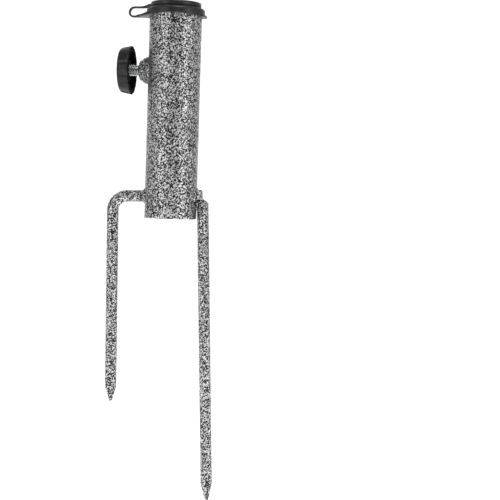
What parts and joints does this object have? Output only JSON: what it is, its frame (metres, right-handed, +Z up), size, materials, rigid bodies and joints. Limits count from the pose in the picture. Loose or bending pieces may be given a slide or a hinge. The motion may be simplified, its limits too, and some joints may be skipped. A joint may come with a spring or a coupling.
{
  "type": "fishing rod holder",
  "caption": "Bank rod holder: a steel tube with a cross arm and two ground spikes, a hand screw that clamps the rod butt, and a rubber cap on a strap over the mouth.",
  "frame": {"origin": "centre of the tube's bottom end, level with the ground when the spikes are pushed in", "axes": "+Z up the tube, +X towards the long spike; the knob, the short spike and the cap's strap are on -X, and both spikes lie in the XZ plane"},
  "size_m": [0.0835, 0.0422, 0.3625],
  "materials": {
    "vein_paint": "silver and black vein powder coat",
    "zinc_steel": "bright zinc plate",
    "black_plastic": "fine moulded grain, satin",
    "black_rubber": "smooth moulded rubber, satin"
  },
  "bodies": {
    "root": {"holder_tube": "vein_paint", "cross_arm_spike": "vein_paint", "long_spike": "vein_paint", "arm_weld_left": "vein_paint", "arm_weld_right": "vein_paint", "spike_top_weld": "vein_paint", "spike_side_weld": "vein_paint", "clamp_nut": "vein_paint", "nut_weld": "vein_paint", "cap_collar": "black_rubber", "strap_root": "black_rubber"},
    "screw_body": {"clamp_screw": "zinc_steel"},
    "knob_body": {"clamp_knob": "black_plastic"},
    "strap_body": {"strap_bend": "black_rubber"},
    "lid_body": {"strap_tip": "black_rubber", "cap_lid": "black_rubber"}
  },
  "joints": [
    {"name": "screw_travel", "type": "slide", "parent": "root", "child": "screw_body", "axis": [1, 0, 0], "range_m": [-0.005, 0.0075]},
    {"name": "knob_turn", "type": "hinge", "parent": "screw_body", "child": "knob_body", "pos_m": [-0.0356, 0, 0.107], "axis": [1, 0, 0], "range_deg": [-1441, 2161]},
    {"name": "strap_flex", "type": "hinge", "parent": "root", "child": "strap_body", "pos_m": [-0.03369, 0, 0.14626], "axis": [0, -1, 0], "range_deg": [0, 90]},
    {"name": "lid_open", "type": "hinge", "parent": "strap_body", "child": "lid_body", "pos_m": [-0.03337, 0, 0.15192], "axis": [0, -1, 0], "range_deg": [0, 90]}
  ],
  "couplings": [
    {"joint": "knob_turn", "follows": "screw_travel", "rad_per_m": 5026.5},
    {"joint": "strap_flex", "follows": "lid_open", "ratio": 1}
  ]
}
